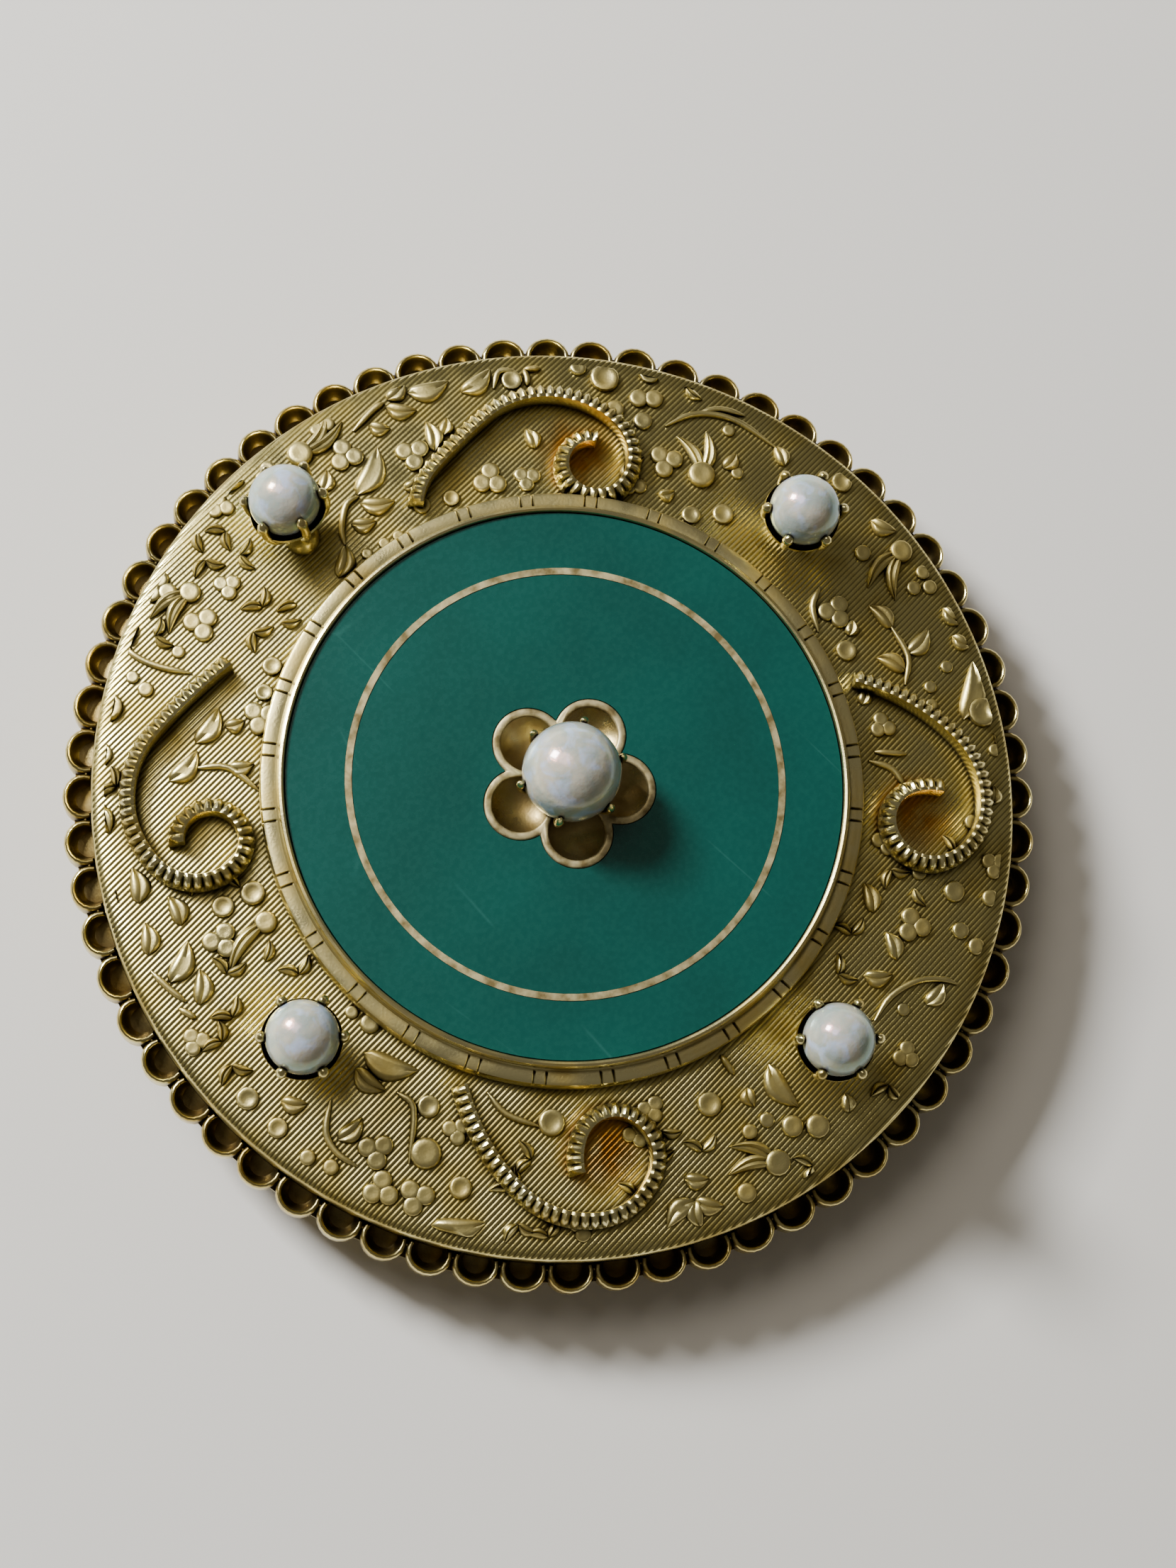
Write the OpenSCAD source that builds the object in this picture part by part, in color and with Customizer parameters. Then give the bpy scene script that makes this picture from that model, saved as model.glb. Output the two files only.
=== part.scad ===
// Round brooch locket: a domed gilt plate with a scalloped border, an enamelled centre and five
// pearls, with a glazed keepsake compartment, a pin and a fold-away bail on its back.
// Millimetres. +Z comes out of the front, +Y is up as worn, and Z 0 is the surface it lies on.

/* [Border] */
// Diameter over the scalloped border
overall_d = 44; // [43.6:0.1:44.6]
// Number of cups round the border
cup_count = 64; // [60:4:68]
// Height of the border band
border_h = 1.2; // [1:0.1:1.4]
// Thickness of the floor under the cups
cup_floor = 0.3; // [0.2:0.1:0.5]
// Radius of one cup
cup_r = 0.72; // [0.6:0.02:0.76]

/* [Back] */
// Height of the back plate above the surface that the fittings rest on
back_z = 2.4; // [2.4:0.1:2.8]
// Thickness of the back plate
back_t = 0.5; // [0.4:0.1:0.6]
// How far the locket compartment sits below the middle
locket_drop = 3; // [2.8:0.1:3.1]
// Inside radius of the locket compartment
well_r = 8.1; // [7.6:0.1:8.1]
// Inside depth of the locket compartment, from its flange
well_depth = 2.6; // [2:0.1:2.6]

/* [Front plate] */
// Radius of the front plate
plate_r = 20.7; // [20.6:0.05:20.8]
// Height of the front plate's edge above the lips of the cups
edge_rise = 1.2; // [1:0.1:1.3]
// Rise of the dome from its edge to the bezel
crown = 0.6; // [0.5:0.1:0.8]
// Thickness of the stamped sheet
sheet_t = 0.45; // [0.35:0.05:0.5]

/* [Centre] */
// Radius of the enamelled plaque
plaque_r = 12.3; // [12:0.1:12.3]
// Thickness of the enamelled plaque
plaque_t = 1; // [0.8:0.1:1.2]
// Mean radius of the inlaid gold line
line_r = 9.58; // [9:0.1:10]
// Width of the inlaid gold line
line_w = 0.3; // [0.2:0.05:0.5]
// Radius of one petal of the flower
petal_r = 1.6; // [1.5:0.05:1.65]
// Distance from the middle to the centre of a petal
petal_d = 2.35; // [2.2:0.05:2.4]

/* [Pearls] */
// Radius of the centre pearl
centre_pearl_r = 2.2; // [2:0.05:2.3]
// Radius of each outer pearl
outer_pearl_r = 1.6; // [1.4:0.05:1.7]
// Distance from the middle to an outer pearl's setting
pearl_ring_r = 16.25; // [16:0.05:16.5]
// How far the top pearl leans outwards
top_lean = 22; // [0:1:25]

/* [Scrolls] */
// Width of a scroll strip
scroll_w = 0.7; // [0.5:0.05:0.8]
// Height of a scroll strip above the plate
scroll_h = 1.1; // [0.8:0.1:1.4]

/* [Hidden] */
$fn = 64;

gilt = "goldenrod";
pearl_white = "gainsboro";

// Levels, from the back to the front
plate_foot_z = back_z + back_t;
lip_z = plate_foot_z + border_h;
edge_z = lip_z + edge_rise;
seat_z = edge_z + crown;
backing_t = 0.4;
plaque_z = seat_z + backing_t;
enamel_z = plaque_z + plaque_t;

// Border
lobe_r = 0.95;
border_in_r = plate_r + 0.05;
cup_ring_r = overall_d / 2 - lobe_r;
back_r = plate_r + 0.2;

// Front plate
seat_r = 13.5;
flange_in_r = 11;
dome_steps = 6;
function dome_z(r) = edge_z + crown * (1 - pow(r / plate_r, 2)) / (1 - pow(seat_r / plate_r, 2));
dome_line = [for (i = [0 : dome_steps]) let (r = seat_r + (plate_r - seat_r) * i / dome_steps)
    [r, dome_z(r)]];

// Bezel
bezel_in_r = plaque_r + 0.05;
bezel_lip_r = bezel_in_r + 0.3;
bezel_out_r = 13.4;
bezel_lip_rise = 0.2;
bezel_step_drop = 0.35;

// Inlay and flower
inlay_depth = 0.1;
inlay_proud = 0.03;
inlay_gap = 0.01;
rim_w = 0.35;
flower_gap = 0.03;
petal_floor_t = 0.4;
flower_core_r = 2.2;
flower_inner_core_r = 1.8;
scoop_r = 2.4;
scoop_depth = 0.25;

// Pearl settings
seat_gap = 0.03;
prong_t = 0.3;
prong_count = 6;
centre_pearl_z = plaque_z + petal_floor_t + centre_pearl_r + 0.1;
collar_h = 0.55;
collar_r = 1.35;
stem_h = 3.05;
foot_sink = 0.25;
outer_seat_z = dome_z(pearl_ring_r);
right_rise = 0.9;
left_rise = 0.2;
bottom_shift = -0.3;

// Scrolls: where each strip starts, its first direction and its arcs as [radius, sweep]
arc_step = 15;
upper_start = [-6.5, 14.4];
upper_heading = 174;
upper_arcs = [[24, 11], [4.4, 86], [2.4, 85], [1.6, 90], [1.5, 90], [1.4, 60]];
lower_start = [-12.8, -5.9];
lower_heading = 238;
lower_arcs = [[9.5, 32], [4.2, 50], [3, 66], [2, 90], [1.65, 85], [2.6, 40]];
right_side_shift = 0.15;
// The upper right strip starts nearer the middle than the upper left one, with a curved lead-in
upper_right_start = [-4.62, 13.68];
upper_right_heading = 141;
upper_right_arcs = [[3.3, 33], [24, 8.6], [4.4, 88.4], [2.4, 85], [1.6, 90], [1.5, 90], [1.4, 60]];

// Locket compartment and its hinged frame
locket_c = [0, -locket_drop, 0];
well_wall = 0.4;
well_hole_r = well_r + well_wall + 0.05;
flange_r = well_r + well_wall + 0.75;
flange_t = 0.3;
well_top_z = back_z - flange_t + well_depth;
card_t = 0.5;
card_r = well_r - 0.1;
frame_r = 9.2;
frame_top_z = back_z - flange_t - 0.05;
crystal_r = 8;
crystal_z = 0.9;
crystal_edge_t = 0.4;
crystal_bulge = 0.55;
retainer_t = 0.3;
sight_r = 7.5;
hinge_x = -10.2;
hinge_z = 1.1;
knuckle_r = 0.75;
knuckle_gap = 0.08;
knuckle_half = 1;
knuckle_len = 1.2;
hinge_pin_r = 0.28;
fixed_bore_r = 0.3;
running_bore_r = 0.33;

// Brooch pin
pin_y = 10.5;
pin_z = 1.2;
pin_x0 = -14;
pin_r = 0.4;
pin_straight = 28.5;
pin_tip_l = 1.5;
pin_knuckle_r = 0.6;
pin_knuckle_half = 0.52;
lug_in = 0.6;
lug_out = 1;
lug_r = 0.6;
base_t = 0.3;
catch_x = 13;
catch_half = 0.9;
catch_in = 0.5;
catch_out = 0.9;

// Bail
bail_y = 18.2;
bail_z = 1.6;
bail_len = 4.9;
bail_t = 0.9;
bail_hole_r = 1;
bail_out_r = 1.7;
bail_neck_w = 1.3;
bail_knuckle_r = 0.65;
bail_half = 0.85;

function polar(r, a) = [r * cos(a), r * sin(a)];

// Points with their headings along a chain of arcs; a positive sweep turns left
function arc_walk(p, h, arcs, i = 0) = i == len(arcs) ? [] :
    let (r = arcs[i][0], s = arcs[i][1], side = s > 0 ? 1 : -1, n = ceil(abs(s) / arc_step),
        c = p + r * side * [-sin(h), cos(h)],
        pts = [for (k = [1 : n]) let (a = h + s * k / n)
            [c[0] + r * side * sin(a), c[1] - r * side * cos(a), a]],
        last = pts[n - 1])
    concat(pts, arc_walk([last[0], last[1]], h + s, arcs, i + 1));

function strip_side(path, off) = [for (q = path)
    [q[0] - off * sin(q[2]), q[1] + off * cos(q[2])]];

function reversed(v) = [for (i = [len(v) - 1 : -1 : 0]) v[i]];

module along_y(y0, y1, r) {
    translate([0, y0, 0]) rotate([-90, 0, 0]) cylinder(r = r, h = y1 - y0);
}

module along_x(x0, x1, r) {
    translate([x0, 0, 0]) rotate([0, 90, 0]) cylinder(r = r, h = x1 - x0);
}

module ring_2d(outer, inner) {
    difference() {
        circle(r = outer, $fn = 128);
        circle(r = inner, $fn = 128);
    }
}

module cinquefoil(petal, core) {
    circle(r = core);
    for (i = [0 : 4]) translate(polar(petal_d, 90 + 72 * i)) circle(r = petal);
}

module back_plate() {
    color(gilt) translate([0, 0, back_z]) linear_extrude(back_t) difference() {
        circle(r = back_r, $fn = 128);
        translate([0, -locket_drop]) circle(r = well_hole_r, $fn = 128);
    }
}

module border_outline() {
    difference() {
        union() {
            circle(r = cup_ring_r + 0.25, $fn = 128);
            for (i = [0 : cup_count - 1])
                translate(polar(cup_ring_r, i * 360 / cup_count)) circle(r = lobe_r, $fn = 32);
        }
        circle(r = border_in_r, $fn = 128);
    }
}

module scalloped_border() {
    color(gilt) translate([0, 0, plate_foot_z]) {
        linear_extrude(cup_floor) border_outline();
        translate([0, 0, cup_floor]) linear_extrude(border_h - cup_floor) difference() {
            border_outline();
            for (i = [0 : cup_count - 1])
                translate(polar(cup_ring_r, i * 360 / cup_count)) circle(r = cup_r, $fn = 32);
        }
    }
}

module front_plate() {
    under = [for (q = reversed(dome_line)) [q[0] - (q[0] == plate_r ? sheet_t : 0), q[1] - sheet_t]];
    wall = [[plate_r, plate_foot_z], [plate_r - sheet_t, plate_foot_z]];
    flange = [[flange_in_r, seat_z - sheet_t], [flange_in_r, seat_z]];
    color(gilt) rotate_extrude($fn = 128) polygon(concat(dome_line, wall, under, flange));
}

module enamel_bezel() {
    lip_z1 = enamel_z + bezel_lip_rise;
    step_z = enamel_z - bezel_step_drop;
    color(gilt) rotate_extrude($fn = 128) polygon([[bezel_in_r, seat_z], [bezel_out_r, seat_z],
        [bezel_out_r, step_z - 0.25], [bezel_out_r - 0.2, step_z], [bezel_lip_r, step_z],
        [bezel_lip_r, lip_z1 - 0.1], [bezel_lip_r - 0.1, lip_z1], [bezel_in_r, lip_z1]]);
}

module plaque_backing() {
    color(gilt) translate([0, 0, seat_z]) cylinder(r = plaque_r, h = backing_t, $fn = 128);
}

module enamel_plaque() {
    color("teal") difference() {
        translate([0, 0, plaque_z]) cylinder(r = plaque_r, h = plaque_t, $fn = 128);
        translate([0, 0, plaque_z - 1]) linear_extrude(plaque_t + 2)
            cinquefoil(petal_r + flower_gap, flower_core_r);
        translate([0, 0, enamel_z - inlay_depth]) linear_extrude(1)
            ring_2d(line_r + line_w / 2 + inlay_gap, line_r - line_w / 2 - inlay_gap);
    }
}

module gold_line_ring() {
    color("burlywood") translate([0, 0, enamel_z - inlay_depth])
        linear_extrude(inlay_depth + inlay_proud)
            ring_2d(line_r + line_w / 2, line_r - line_w / 2);
}

module flower_rim() {
    color("burlywood") translate([0, 0, plaque_z + petal_floor_t])
        linear_extrude(plaque_t - petal_floor_t + inlay_proud) difference() {
            cinquefoil(petal_r, flower_core_r - flower_gap);
            cinquefoil(petal_r - rim_w, flower_inner_core_r);
        }
}

module flower_petals() {
    scoop_z = plaque_z + petal_floor_t - scoop_depth + scoop_r;
    color(gilt) difference() {
        translate([0, 0, plaque_z]) linear_extrude(petal_floor_t)
            cinquefoil(petal_r, flower_core_r - flower_gap);
        for (i = [0 : 4]) translate(concat(polar(petal_d + 0.1, 90 + 72 * i), scoop_z))
            sphere(r = scoop_r);
    }
}

// Claws that hug a pearl of radius r centred on the origin, from below it to past its widest line
module prongs(r, from, to) {
    inner = r + seat_gap;
    outer = inner + prong_t;
    steps = 6;
    arc = [for (k = [0 : steps]) from + (to - from) * k / steps];
    for (i = [0 : prong_count - 1]) rotate([0, 0, i * 360 / prong_count + 24])
        rotate_extrude(angle = 12) polygon(concat([for (a = arc) polar(inner, a)],
            [for (a = reversed(arc)) polar(outer, a)]));
}

module centre_setting() {
    color(gilt) translate([0, 0, centre_pearl_z]) {
        difference() {
            translate([0, 0, plaque_z + petal_floor_t - centre_pearl_z])
                cylinder(r = collar_r, h = collar_h);
            sphere(r = centre_pearl_r + seat_gap);
        }
        prongs(centre_pearl_r, -62, 12);
    }
}

module centre_pearl() {
    color(pearl_white) translate([0, 0, centre_pearl_z]) sphere(r = centre_pearl_r);
}

// A flared coronet that stands on the plate at [x, y] and leans by the given angle
module outer_setting(x, y, lean) {
    color(gilt) translate([x, y, outer_seat_z]) rotate([-lean, 0, 0]) {
        difference() {
            rotate_extrude() polygon([[0, -foot_sink], [0.75, -foot_sink], [0.65, 0.7],
                [1.2, 1.75], [0, 1.75]]);
            translate([0, 0, stem_h]) sphere(r = outer_pearl_r + seat_gap);
        }
        translate([0, 0, stem_h]) prongs(outer_pearl_r, -60, 14);
    }
}

module outer_pearl(x, y, lean) {
    color(pearl_white) translate([x, y, outer_seat_z]) rotate([-lean, 0, 0])
        translate([0, 0, stem_h]) sphere(r = outer_pearl_r);
}

module top_setting() { outer_setting(0, pearl_ring_r, top_lean); }
module right_setting() { outer_setting(pearl_ring_r, right_rise, 0); }
module bottom_setting() { outer_setting(bottom_shift, -pearl_ring_r, 0); }
module left_setting() { outer_setting(-pearl_ring_r, left_rise, 0); }
module top_pearl() { outer_pearl(0, pearl_ring_r, top_lean); }
module right_pearl() { outer_pearl(pearl_ring_r, right_rise, 0); }
module bottom_pearl() { outer_pearl(bottom_shift, -pearl_ring_r, 0); }
module left_pearl() { outer_pearl(-pearl_ring_r, left_rise, 0); }

// The skin above the dome that a scroll strip fills
module scroll_layer() {
    top = [for (q = reversed(dome_line)) [q[0], q[1] + scroll_h]];
    rotate_extrude($fn = 128) polygon(concat(dome_line, top));
}

// A strip set on edge along a chain of arcs, soldered to the dome
module scroll(start, heading, arcs) {
    path = concat([[start[0], start[1], heading]], arc_walk(start, heading, arcs));
    outline = concat(strip_side(path, scroll_w / 2), reversed(strip_side(path, -scroll_w / 2)));
    color(gilt) intersection() {
        translate([0, 0, lip_z]) linear_extrude(seat_z + scroll_h - lip_z + 1) polygon(outline);
        scroll_layer();
    }
}

module upper_left_scroll() { scroll(upper_start, upper_heading, upper_arcs); }
module lower_left_scroll() { scroll(lower_start, lower_heading, lower_arcs); }
module upper_right_scroll() {
    mirror([1, 0, 0]) scroll(upper_right_start, upper_right_heading, upper_right_arcs);
}
module lower_right_scroll() {
    mirror([1, 0, 0]) scroll(lower_start + [-right_side_shift, 0], lower_heading, lower_arcs);
}

module locket_case() {
    z0 = back_z - flange_t;
    r1 = well_r + well_wall;
    color(gilt) translate(locket_c) rotate_extrude($fn = 128) polygon([[0, well_top_z],
        [well_r, well_top_z], [well_r, z0], [flange_r, z0], [flange_r, back_z], [r1, back_z],
        [r1, well_top_z + sheet_t], [0, well_top_z + sheet_t]]);
}

module keepsake_card() {
    color("ivory") translate(locket_c + [0, 0, well_top_z - card_t])
        cylinder(r = card_r, h = card_t, $fn = 128);
}

module frame_knuckles() {
    color(gilt) translate([hinge_x, -locket_drop, hinge_z])
        for (y0 = [-knuckle_half - knuckle_len, knuckle_half]) difference() {
            union() {
                along_y(y0, y0 + knuckle_len, knuckle_r);
                translate([-0.35, y0, 0]) cube([0.7, knuckle_len, back_z - hinge_z]);
            }
            along_y(y0 - 1, y0 + knuckle_len + 1, fixed_bore_r);
        }
}

module frame_hinge_pin() {
    half = knuckle_half + knuckle_len + 0.1;
    color("silver") translate([hinge_x, -locket_drop, hinge_z]) along_y(-half, half, hinge_pin_r);
}

module glass_frame() {
    half = knuckle_half - knuckle_gap;
    color(gilt) difference() {
        union() {
            translate(locket_c) rotate_extrude($fn = 128) polygon([[sight_r, 0.3],
                [sight_r + 0.3, 0], [frame_r - 0.6, 0], [frame_r, 0.6], [frame_r, frame_top_z],
                [crystal_r + 0.03, frame_top_z], [crystal_r + 0.03, crystal_z],
                [sight_r, crystal_z]]);
            translate([hinge_x, -locket_drop, hinge_z]) along_y(-half, half, knuckle_r);
            translate([hinge_x + 0.3, -locket_drop - half, hinge_z - 0.4])
                cube([1.3, 2 * half, 0.8]);
            translate([frame_r - 0.2, -locket_drop, 0.6]) cylinder(r = 0.9, h = 0.5);
        }
        translate([hinge_x, -locket_drop, hinge_z]) along_y(-2, 2, running_bore_r);
    }
}

module crystal() {
    steps = 6;
    bulge = [for (i = [0 : steps]) let (a = 90 * i / steps)
        [(sight_r - 0.1) * cos(a), crystal_z - crystal_bulge * sin(a)]];
    color("lightcyan") translate(locket_c) rotate_extrude($fn = 128) polygon(concat(
        [[0, crystal_z + crystal_edge_t], [crystal_r, crystal_z + crystal_edge_t],
        [crystal_r, crystal_z]], bulge));
}

module crystal_retainer() {
    color(gilt) translate(locket_c + [0, 0, crystal_z + crystal_edge_t])
        linear_extrude(retainer_t) ring_2d(crystal_r, sight_r);
}

module pin_bracket() {
    color(gilt) translate([pin_x0, pin_y, 0]) {
        translate([-lug_r, -lug_out, back_z - base_t]) cube([2 * lug_r, 2 * lug_out, base_t]);
        for (y0 = [-lug_out, lug_in]) difference() {
            union() {
                translate([0, 0, lug_r]) along_y(y0, y0 + lug_out - lug_in, lug_r);
                translate([-lug_r, y0, lug_r])
                    cube([2 * lug_r, lug_out - lug_in, back_z - base_t - lug_r]);
            }
            translate([0, 0, pin_z]) along_y(y0 - 1, y0 + 2, 0.27);
        }
    }
}

module pin_rivet() {
    color("silver") translate([pin_x0, pin_y, pin_z]) along_y(-lug_out - 0.1, lug_out + 0.1, 0.25);
}

module pin_stem() {
    color("silver") translate([pin_x0, pin_y, pin_z]) {
        difference() {
            union() {
                along_y(-pin_knuckle_half, pin_knuckle_half, pin_knuckle_r);
                along_x(0, pin_straight, pin_r);
            }
            along_y(-2, 2, 0.3);
        }
        translate([pin_straight, 0, 0]) rotate([0, 90, 0])
            cylinder(r1 = pin_r, r2 = 0.06, h = pin_tip_l);
    }
}

module pin_catch() {
    color(gilt) translate([catch_x - catch_half, pin_y, 0]) {
        translate([0, -catch_out, back_z - base_t]) cube([2 * catch_half, 2 * catch_out, base_t]);
        for (y0 = [-catch_out, catch_in])
            translate([0, y0, 0]) cube([2 * catch_half, catch_out - catch_in, back_z - base_t]);
    }
}

module bail_knuckles() {
    color(gilt) translate([0, bail_y, bail_z])
        for (x0 = [-bail_half - 1.05, bail_half + 0.05]) difference() {
            union() {
                along_x(x0, x0 + 1, bail_knuckle_r);
                translate([x0, -0.35, 0]) cube([1, 0.7, back_z - bail_z]);
            }
            along_x(x0 - 1, x0 + 2, fixed_bore_r);
        }
}

module bail_pin() {
    color("silver") translate([0, bail_y, bail_z])
        along_x(-bail_half - 1.15, bail_half + 1.15, hinge_pin_r);
}

module bail() {
    color(gilt) translate([0, bail_y, bail_z]) difference() {
        union() {
            along_x(-bail_half, bail_half, bail_knuckle_r);
            translate([-bail_neck_w / 2, -bail_len, -bail_t / 2])
                cube([bail_neck_w, bail_len, bail_t]);
            translate([0, -bail_len, -bail_t / 2]) cylinder(r = bail_out_r, h = bail_t);
        }
        translate([0, -bail_len, -2]) cylinder(r = bail_hole_r, h = 4);
        along_x(-2, 2, running_bore_r);
    }
}

back_plate();
scalloped_border();
front_plate();
enamel_bezel();
plaque_backing();
enamel_plaque();
gold_line_ring();
flower_rim();
flower_petals();
centre_setting();
centre_pearl();
top_setting();
right_setting();
bottom_setting();
left_setting();
top_pearl();
right_pearl();
bottom_pearl();
left_pearl();
upper_left_scroll();
upper_right_scroll();
lower_left_scroll();
lower_right_scroll();
locket_case();
keepsake_card();
frame_knuckles();
frame_hinge_pin();
glass_frame();
crystal();
crystal_retainer();
pin_bracket();
pin_rivet();
pin_stem();
pin_catch();
bail_knuckles();
bail_pin();
bail();
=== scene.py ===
import math
import random
import bpy
from mathutils import Matrix, Vector


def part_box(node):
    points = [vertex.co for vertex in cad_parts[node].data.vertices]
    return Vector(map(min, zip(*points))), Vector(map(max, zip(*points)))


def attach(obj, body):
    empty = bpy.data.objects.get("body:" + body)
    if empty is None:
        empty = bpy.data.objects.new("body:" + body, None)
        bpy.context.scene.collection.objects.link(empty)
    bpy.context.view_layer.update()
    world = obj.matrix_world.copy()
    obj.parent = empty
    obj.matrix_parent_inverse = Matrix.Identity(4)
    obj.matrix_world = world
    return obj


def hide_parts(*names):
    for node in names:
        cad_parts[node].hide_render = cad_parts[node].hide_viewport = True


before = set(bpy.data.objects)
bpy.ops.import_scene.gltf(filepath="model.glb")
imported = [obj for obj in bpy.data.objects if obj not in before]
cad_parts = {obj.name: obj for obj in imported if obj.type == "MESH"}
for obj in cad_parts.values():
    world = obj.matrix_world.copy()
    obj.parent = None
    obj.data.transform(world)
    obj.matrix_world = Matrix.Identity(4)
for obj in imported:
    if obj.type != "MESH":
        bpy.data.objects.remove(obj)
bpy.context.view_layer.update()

MM = 0.001

# ---------------------------------------------------------------- floor, light and camera
# A pale matt table top lit from beyond the locket's upper edge by a window, low down, and a ceiling light
# above it. The rest of the room is dim, so that the gilding turns dark on the sides that face away.


def linear(hex_value):
    """The shader's linear colour for an sRGB hex value."""
    parts = [int(hex_value[i:i + 2], 16) / 255 for i in (0, 2, 4)]
    return [c / 12.92 if c <= 0.04045 else ((c + 0.055) / 1.055) ** 2.4 for c in parts] + [1.0]


def add_node(tree, kind, values=None, links=None, **settings):
    """Adds one node with its settings, its fixed inputs and its links."""
    node = tree.nodes.new(kind)
    for key, value in settings.items():
        setattr(node, key, value)
    for socket, value in (values or {}).items():
        node.inputs[socket].default_value = value
    for socket, source in (links or {}).items():
        tree.links.new(source, node.inputs[socket])
    return node


def deselect():
    """Leaves nothing selected."""
    bpy.ops.object.select_all(action="DESELECT")


def soft_light(name, bearing, elevation, distance, size, power, colour):
    """A square area light that looks at the middle of the locket."""
    light = bpy.data.lights.new(name, "AREA")
    light.size = size
    light.energy = power
    light.color = linear(colour)[:3]
    lamp = bpy.data.objects.new(name, light)
    a, e = math.radians(bearing), math.radians(elevation)
    way = Vector((math.cos(a) * math.cos(e), math.sin(a) * math.cos(e), math.sin(e)))
    lamp.location = way * distance
    lamp.rotation_euler = way.to_track_quat("Z", "Y").to_euler()
    bpy.context.scene.collection.objects.link(lamp)


soft_light("window", 97, 36, 0.42, 0.1, 4.3, "FAFCFF")
soft_light("ceiling", 92, 60, 0.60, 0.25, 0.9, "FFF8EC")

world = bpy.data.worlds.new("room")
world.use_nodes = True
world.node_tree.nodes["Background"].inputs["Color"].default_value = linear("B9B2A6")
world.node_tree.nodes["Background"].inputs["Strength"].default_value = 0.24
bpy.context.scene.world = world

deselect()
bpy.ops.mesh.primitive_plane_add(size=1.6, location=(0, 0, 0))
table = bpy.context.object
table.name = "table"
matt = bpy.data.materials.new("matt_paint")
matt.use_nodes = True
matt.node_tree.nodes["Principled BSDF"].inputs["Base Color"].default_value = linear("DAD6CE")
matt.node_tree.nodes["Principled BSDF"].inputs["Roughness"].default_value = 0.8
table.data.materials.append(matt)

camera_data = bpy.data.cameras.new("camera")
camera_data.lens = 61.84
camera_data.sensor_width = 36
camera_data.clip_start = 0.01
camera = bpy.data.objects.new("camera", camera_data)
camera.location = (-28.41 * MM, -8.36 * MM, 121.61 * MM)
camera.rotation_euler = [math.radians(a) for a in (12.835, -7.169, -46.566)]
bpy.context.scene.collection.objects.link(camera)
bpy.context.scene.camera = camera

# ---------------------------------------------------------------- front plate
# The front plate is struck from thin brass and gilt. Its ground is engraved with straight lines, and small
# leaves, stems, pods and berries stand up from it. Its wall stands on the back plate.


def gilt_brass(name, bright, dull, tarnish_and_shade, hollow_mm, engraved=False, smoothness=1.0):
    """Worn gilding on brass: pale yellow metal, duller in clouds, and dark brown in the hollows, from dirt
    and painted shade.
    """
    material = bpy.data.materials.new(name)
    material.use_nodes = True
    tree = material.node_tree
    shader = tree.nodes["Principled BSDF"]
    shader.inputs["Metallic"].default_value = 1.0
    where = add_node(tree, "ShaderNodeTexCoord").outputs["Object"]
    # Clouds about 2 mm across, where the gilding has worn thin
    cloud = add_node(tree, "ShaderNodeTexNoise", {"Scale": 1 / (2 * MM), "Detail": 6}, {"Vector": where})
    worn = add_node(tree, "ShaderNodeMapRange", {"From Min": 0.35, "From Max": 0.65},
                    {"Value": cloud.outputs["Fac"]})
    metal = add_node(tree, "ShaderNodeMix", {6: linear(bright), 7: linear(dull)},
                     {0: worn.outputs["Result"]}, data_type="RGBA")
    # Dirt and painted shade in the hollows: the tarnish colour darkens wherever nearby surfaces close a place
    # in
    open_sky = add_node(tree, "ShaderNodeAmbientOcclusion", {"Distance": hollow_mm * MM}, samples=8)
    hollow = add_node(tree, "ShaderNodeMapRange",
                      {"From Min": 0.42, "From Max": 0.95, "To Min": 1.0, "To Max": 0.0},
                      {"Value": open_sky.outputs["AO"]})
    colour = add_node(tree, "ShaderNodeMix", {7: linear(tarnish_and_shade)},
                      {0: hollow.outputs["Result"], 6: metal.outputs[2]}, data_type="RGBA")
    tree.links.new(colour.outputs[2], shader.inputs["Base Color"])
    # Rougher where it is worn, and rougher still in the hollows
    rough = add_node(tree, "ShaderNodeMapRange", {"To Min": 0.20 / smoothness, "To Max": 0.36 / smoothness},
                     {"Value": worn.outputs["Result"]})
    occlusion_mix = add_node(tree, "ShaderNodeMath", {1: 0.22},
                     {0: hollow.outputs["Result"], 2: rough.outputs["Result"]}, operation="MULTIPLY_ADD")
    tree.links.new(occlusion_mix.outputs["Value"], shader.inputs["Roughness"])
    # Pits and rubbing marks about 0.12 mm across
    pits = add_node(tree, "ShaderNodeTexNoise", {"Scale": 1 / (0.12 * MM), "Detail": 3}, {"Vector": where})
    bump = add_node(tree, "ShaderNodeBump", {"Strength": 0.5, "Distance": 0.012 * MM},
                    {"Height": pits.outputs["Fac"]})
    if engraved:
        # Engraved lines 0.2 mm apart along X; one wave of the texture is pi / 10 units long
        lines = add_node(tree, "ShaderNodeTexWave",
                         {"Scale": math.pi / 10 / (0.2 * MM), "Distortion": 0.6, "Detail": 1,
                          "Detail Scale": 0.3},
                         {"Vector": where}, wave_type="BANDS", bands_direction="Y")
        bump = add_node(tree, "ShaderNodeBump", {"Strength": 1.0, "Distance": 0.018 * MM},
                        {"Height": lines.outputs["Fac"], "Normal": bump.outputs["Normal"]})
        # The bottom of each line is darker: a little dirt, and painted shade in the groove
        cut = add_node(tree, "ShaderNodeMapRange",
                       {"From Min": 0.0, "From Max": 0.45, "To Min": 0.6, "To Max": 0.0},
                       {"Value": lines.outputs["Fac"]})
        lined = add_node(tree, "ShaderNodeMix", {7: linear(tarnish_and_shade)},
                         {0: cut.outputs["Result"], 6: colour.outputs[2]}, data_type="RGBA")
        tree.links.new(lined.outputs[2], shader.inputs["Base Color"])
    tree.links.new(bump.outputs["Normal"], shader.inputs["Normal"])
    return material


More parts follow.
